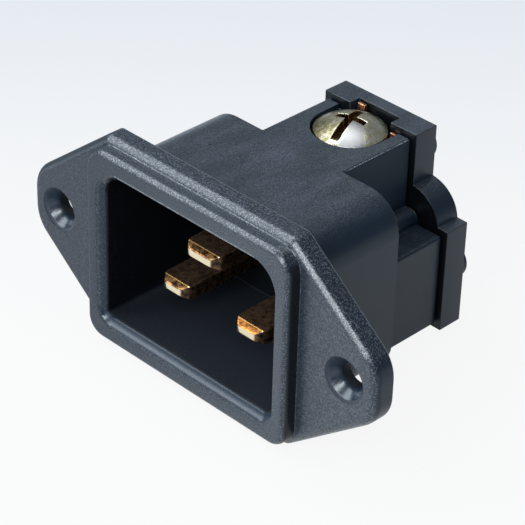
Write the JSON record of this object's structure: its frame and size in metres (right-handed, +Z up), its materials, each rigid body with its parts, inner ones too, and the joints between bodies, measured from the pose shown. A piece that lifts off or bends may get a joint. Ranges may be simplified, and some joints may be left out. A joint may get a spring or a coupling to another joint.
{
  "type": "panel power inlet",
  "caption": "Panel-mount mains power inlet: flanged plastic socket with recessed blade contacts, and screw clamp terminals under a rear cover with wire sleeves.",
  "frame": {"origin": "midway between the two fixing holes, on the rear face of the flange", "axes": "+X to the right seen from the front, +Y to the rear along the fixing holes, +Z up, towards the earth terminal"},
  "size_m": [0.06, 0.0393, 0.0296],
  "materials": {
    "black_plastic": "fine moulded grain, satin",
    "pin_brass": "drawn and polished",
    "clamp_copper": "stamped, reddish brass",
    "screw_nickel": "plated, warm silver",
    "cover_screw_steel": "zinc plated"
  },
  "bodies": {
    "inlet_body": {"housing": "black_plastic", "rear_cover": "black_plastic", "cover_screw_left": "cover_screw_steel", "cover_screw_right": "cover_screw_steel", "earth_pin": "pin_brass", "line_pin": "pin_brass", "neutral_pin": "pin_brass"},
    "earth_clamp_plate": {"earth_clamp": "clamp_copper"},
    "earth_terminal_screw": {"earth_screw": "screw_nickel"},
    "line_clamp_plate": {"line_clamp": "clamp_copper"},
    "line_terminal_screw": {"line_screw": "screw_nickel"},
    "neutral_clamp_plate": {"neutral_clamp": "clamp_copper"},
    "neutral_terminal_screw": {"neutral_screw": "screw_nickel"}
  },
  "joints": [
    {"name": "earth_clamp_slide", "type": "slide", "parent": "inlet_body", "child": "earth_clamp_plate", "axis": [0, 0, -1], "range_m": [0, 0.00345]},
    {"name": "earth_screw_turn", "type": "hinge", "parent": "earth_clamp_plate", "child": "earth_terminal_screw", "pos_m": [0, 0.0237, 0.0044], "axis": [0, 0, -1], "range_deg": [0, 1552.5]},
    {"name": "line_clamp_slide", "type": "slide", "parent": "inlet_body", "child": "line_clamp_plate", "axis": [0, 0, 1], "range_m": [0, 0.00295]},
    {"name": "line_screw_turn", "type": "hinge", "parent": "line_clamp_plate", "child": "line_terminal_screw", "pos_m": [0.0065, 0.0237, -0.0041], "axis": [0, 0, 1], "range_deg": [0, 1327.5]},
    {"name": "neutral_clamp_slide", "type": "slide", "parent": "inlet_body", "child": "neutral_clamp_plate", "axis": [0, 0, 1], "range_m": [0, 0.00295]},
    {"name": "neutral_screw_turn", "type": "hinge", "parent": "neutral_clamp_plate", "child": "neutral_terminal_screw", "pos_m": [-0.0065, 0.0237, -0.0041], "axis": [0, 0, 1], "range_deg": [0, 1327.5]}
  ],
  "couplings": [
    {"joint": "earth_screw_turn", "follows": "earth_clamp_slide", "rad_per_m": 7853.2},
    {"joint": "line_screw_turn", "follows": "line_clamp_slide", "rad_per_m": 7853.2},
    {"joint": "neutral_screw_turn", "follows": "neutral_clamp_slide", "rad_per_m": 7853.2}
  ]
}
